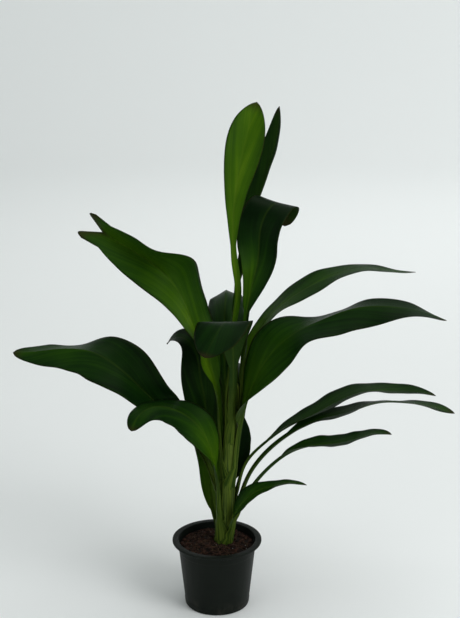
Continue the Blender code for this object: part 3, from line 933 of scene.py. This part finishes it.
def leaf_shape(leaf, number):
    """Closed bmesh of a leaf, whose points carry the measures that its finish reads."""
    sheet, along, share, across = leaf_sheet(leaf, number)
    upper, lower = leaf_body(leaf, share, across, along)
    tangent_a = np.gradient(sheet, axis=0)
    tangent_b = np.gradient(sheet, axis=1)
    normal = np.cross(tangent_b, tangent_a)
    normal /= np.maximum(np.linalg.norm(normal, axis=-1, keepdims=True), 1e-12)
    top = sheet + normal * upper[..., None]
    bottom = sheet - normal * lower[..., None]
    rim = (top[:, [0, -1]] + bottom[:, [0, -1]]) / 2
    top[:, [0, -1]] = rim
    if "end" in leaf:
        top[-1] = bottom[-1] = (top[-1] + bottom[-1]) / 2
    around = np.concatenate([top, bottom[:, -2:0:-1]], axis=1)
    rows, sides = around.shape[0] - 1, around.shape[1]
    shape = bmesh.new()
    bmesh.ops.create_grid(shape, x_segments=rows, y_segments=sides, size=0.5)
    layers = {name: shape.verts.layers.float.new(name) for name in LEAF_MEASURES}
    tone = LEAF_TONES_AND_SHADE[number - 1]
    shift = tone_and_light_shift(number, share, across)
    last = sides // 2
    for vertex in shape.verts:
        row = round((vertex.co.x + 0.5) * rows)
        side = round((vertex.co.y + 0.5) * sides) % sides
        column = side if side <= last else 2 * last - side
        vertex.co = around[row, side]
        vertex[layers["across"]] = across[row, column]
        vertex[layers["along"]] = along[row]
        vertex[layers["share"]] = share[row]
        vertex[layers["edge"]] = abs(ACROSS[column])
        vertex[layers["under"]] = 1.0 if side > last else 0.5 if side in (0, last) else 0.0
        vertex[layers["tone"]] = tone
        vertex[layers["shift"]] = shift[row, column]
    bmesh.ops.remove_doubles(shape, verts=shape.verts, dist=1e-7)
    bmesh.ops.holes_fill(shape, edges=[e for e in shape.edges if e.is_boundary], sides=0)
    bmesh.ops.recalc_face_normals(shape, faces=shape.faces)
    return shape


# %% [markdown]
# A strap leaf is glossy, with a pale midrib, long veins that slant out from it, streaks between them, a thin
# red-brown margin and a dry tip. A painted picture would blur close up and have to be unwrapped, so each
# point carries how far it lies along and across its leaf, and noise drawn out along the veins does the rest.
# On the stalk the streaks run upright.

# %% Glossy leaf
VEIN_SPACING = 0.010
VEIN_SLANT = 6.0
RIB_GREEN = (0.070, 0.120, 0.008)
UNDER_RIB_GREEN = (0.045, 0.080, 0.010)
DRY_BROWN = (0.022, 0.014, 0.006)
MARGIN_BROWN = (0.026, 0.010, 0.004)
GREEN_SHEEN = (0.85, 1.0, 0.62, 1.0)


def glossy_leaf():
    """Green blade with long veins, a pale midrib and stalk, a red-brown margin and a dry tip."""
    finish = Finish("glossy_leaf")
    across, along, share, edge, under, tone, shift = (finish.attribute(n) for n in LEAF_MEASURES)
    place = finish.place()
    far = across.maths("ABSOLUTE", across)
    wander = finish.grain(place, 30.0, 2.0)
    blotches = finish.grain(place, 14.0, 3.0)
    stalk = 1 - finish.between(share, 0.05, 0.30)
    run = along - VEIN_SLANT * far + 0.010 * wander
    fine = finish.node("ShaderNodeCombineXYZ", inputs={0: run * 110, 1: far * 20, 2: tone * 40})
    broad = finish.node("ShaderNodeCombineXYZ", inputs={0: run * 22, 1: across * 30, 2: tone * 90})
    upright = finish.node("ShaderNodeCombineXYZ", inputs={0: across * 900, 1: along * 9, 2: tone * 40})
    streaks = finish.grain(fine, 1.0, 3.0)
    streaks = streaks + (finish.grain(upright, 1.0, 3.0) - streaks) * stalk
    bands = finish.grain(broad, 1.0, 2.0)
    veins = run.maths("SINE", run * (2 * math.pi / VEIN_SPACING)) * (1 - stalk)
    # tone and shift carry painted light on lit left halves and feet, and painted shade on darker tips and on
    # leaf_10.
    shade = tone + shift + (streaks - 0.5) * 0.30 + (bands - 0.5) * 0.45 + (blotches - 0.5) * 0.25
    shade = shade + 0.05 - 0.20 * edge * edge
    upper = finish.node("ShaderNodeValToRGB", {"stops": [
        (0.00, (0.0012, 0.0080, 0.0014)), (0.20, (0.0034, 0.0190, 0.0018)), (0.45, (0.0120, 0.0440, 0.0018)),
        (0.75, (0.0370, 0.0950, 0.0018)), (1.00, (0.0850, 0.1600, 0.0050))]}, {0: shade})
    rib = (1 - finish.between(far, 0.0005, 0.0030)) * (1 - 0.8 * share)
    upper = finish.mix(rib * (0.12 + 0.60 * tone), upper, RIB_GREEN)
    lower = finish.mix(streaks, (0.0070, 0.0210, 0.0040), (0.0180, 0.0440, 0.0060))
    lower = finish.mix(rib * 0.40, lower, UNDER_RIB_GREEN)
    colour = finish.mix(under, upper, lower)
    stripes = finish.between(streaks, 0.36, 0.66)
    bright = finish.mix(stripes, (0.012, 0.034, 0.002), (0.100, 0.145, 0.018))
    colour = finish.mix(stalk * 0.75, colour, bright)
    dry_tip = finish.between(share + 0.02 * wander, 0.965, 1.01)
    colour = finish.mix(dry_tip * 0.75, colour, DRY_BROWN)
    margin = finish.between(edge, 0.955, 0.995) * (1 - stalk)
    colour = finish.mix(margin * 0.65, colour, MARGIN_BROWN)
    finish.surface(Base_Color=colour, Roughness=0.34 + 0.14 * blotches + 0.18 * under,
                   Specular_IOR_Level=0.06, Specular_Tint=GREEN_SHEEN)
    finish.relief(veins * 0.5 + streaks * 0.8, 0.00022, 0.55)
    return finish


leaf_finish = glossy_leaf()
for number, (name, leaf) in enumerate(LEAVES.items(), start=1):
    add_piece("ti_" + name, leaf_shape(leaf, number), leaf_finish, "leaf_green", name)

# %% [markdown]
# Between the sheaths the cane shows its own skin, which is striped along its length in pale and deep green,
# with a few brownish patches. The stripes are noise stretched upwards, as on the pot, but finer and bolder,
# so that core and sheaths read as one bundle of stalks.


# %% Green cane with upright stripes
def striped_cane():
    """Pale and deep green stripes with brownish patches."""
    finish = Finish("striped_cane")
    place = finish.place()
    drawn = finish.node("ShaderNodeMapping", inputs={"Vector": place, "Scale": (420.0, 420.0, 12.0)})
    stripes = finish.grain(drawn, 1.0, 2.0)
    blotches = finish.grain(place, 45.0, 3.0)
    colour = finish.mix(finish.between(stripes, 0.35, 0.68), (0.012, 0.032, 0.003), (0.085, 0.125, 0.016))
    colour = finish.mix(finish.between(blotches, 0.50, 0.80) * 0.4, colour, (0.035, 0.040, 0.010))
    finish.surface(Base_Color=colour, Roughness=0.40 + 0.15 * blotches,
                   Specular_IOR_Level=0.12, Specular_Tint=GREEN_SHEEN)
    finish.relief(stripes, 0.0004, 0.6)
    return finish


add_piece("cane_core", cane_shape, striped_cane(), "cane_green", "cane")

# %% [markdown]
# ## Floor, light and camera
# The plant stands in a wide pale bowl, a round floor that bends up into a wall, so there is no hard horizon
# from any side. A flat sweep would do for one view only. Large soft lights make the long highlights on the
# leaves. The camera looks down at the plant from where the photograph was taken.


# %% Pale studio bowl
BOWL_RADIUS = 7.0
BOWL_HEIGHT = 3.4
BOWL_BEND = 2.4
BEND_STEPS = 16
BOWL_STEPS = 96


def studio_bowl():
    """Round floor with a wall all the way round it, joined by a wide bend."""
    section = [(0.0, 0.0)]
    for i in range(BEND_STEPS + 1):
        turn = math.pi / 2 * i / BEND_STEPS
        section.append((BOWL_RADIUS - BOWL_BEND * (1 - math.sin(turn)), BOWL_BEND * (1 - math.cos(turn))))
    section.append((BOWL_RADIUS, BOWL_HEIGHT))
    shape = spun(section, BOWL_STEPS)
    mesh = bpy.data.meshes.new("studio_bowl")
    shape.to_mesh(mesh)
    shape.free()
    mesh.shade_smooth()
    paper = Finish("pale_paper", 0.9)
    paper.surface(Base_Color=(0.87, 0.89, 0.89, 1.0), Specular_IOR_Level=0.1)
    mesh.materials.append(paper.material)
    bowl = bpy.data.objects.new("studio_bowl", mesh)
    bpy.context.scene.collection.objects.link(bowl)
    bowl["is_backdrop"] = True
    print(f"studio bowl: {len(mesh.polygons)} faces")


studio_bowl()


# %% Soft lights
WORLD_COLOUR = (0.95, 1.0, 0.98, 1.0)
WORLD_STRENGTH = 0.42


def add_light(name, place, aim, size, watts):
    """Rectangular lamp at a place, turned to its aim."""
    lamp = bpy.data.lights.new(name, "AREA")
    lamp.shape = "RECTANGLE"
    lamp.size, lamp.size_y = size
    lamp.energy = watts
    made = bpy.data.objects.new(name, lamp)
    made.location = place
    made.rotation_euler = (Vector(aim) - Vector(place)).to_track_quat("-Z", "Y").to_euler()
    bpy.context.scene.collection.objects.link(made)
    print(f"{name} light: {watts} W")


add_light("window", (2.1, -1.7, 2.2), (0, 0, 0.45), (1.5, 1.9), 40)
add_light("fill", (-2.0, -2.2, 1.2), (0, 0, 0.45), (1.6, 1.6), 8)
add_light("wall", (1.8, 3.0, 3.2), (1.6, 5.4, 0.8), (5.0, 2.5), 66)
add_light("sky", (0.9, 0.2, 3.4), (0.4, 0.3, 0), (3.0, 3.0), 40)
world = bpy.data.worlds.new("studio")
world.use_nodes = True
background = world.node_tree.nodes["Background"]
background.inputs["Color"].default_value = WORLD_COLOUR
background.inputs["Strength"].default_value = WORLD_STRENGTH
bpy.context.scene.world = world
bpy.context.scene.view_settings.view_transform = "Standard"

# %% The view of the photograph
IMAGE_HEIGHT = 618
FOCAL_PIXELS = 1300
CAMERA_PLACE = (0.0234, -2.133, 1.164)
CAMERA_PITCH = 16
camera = bpy.data.cameras.new("camera")
camera.sensor_width = 36.0
camera.lens = camera.sensor_width * FOCAL_PIXELS / IMAGE_HEIGHT
viewer = bpy.data.objects.new("camera", camera)
viewer.location = CAMERA_PLACE
viewer.rotation_euler = (math.radians(90 - CAMERA_PITCH), 0, 0)
bpy.context.scene.collection.objects.link(viewer)
bpy.context.scene.camera = viewer
print("lens in mm:", round(camera.lens, 1))

# %% [markdown]
# ## Measure and finish
# The dressed plant must fill the same box as its solids, so both boxes are kept side by side.

# %% Boxes, in metres
bpy.context.view_layer.update()
visual_box = [list(corner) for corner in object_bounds()]
for name, cad, visual in zip(("low corner", "high corner"), CAD_BOX, visual_box):
    print(name, "moved by, in mm:", [round(1000 * (b - a), 1) for a, b in zip(cad, visual)])
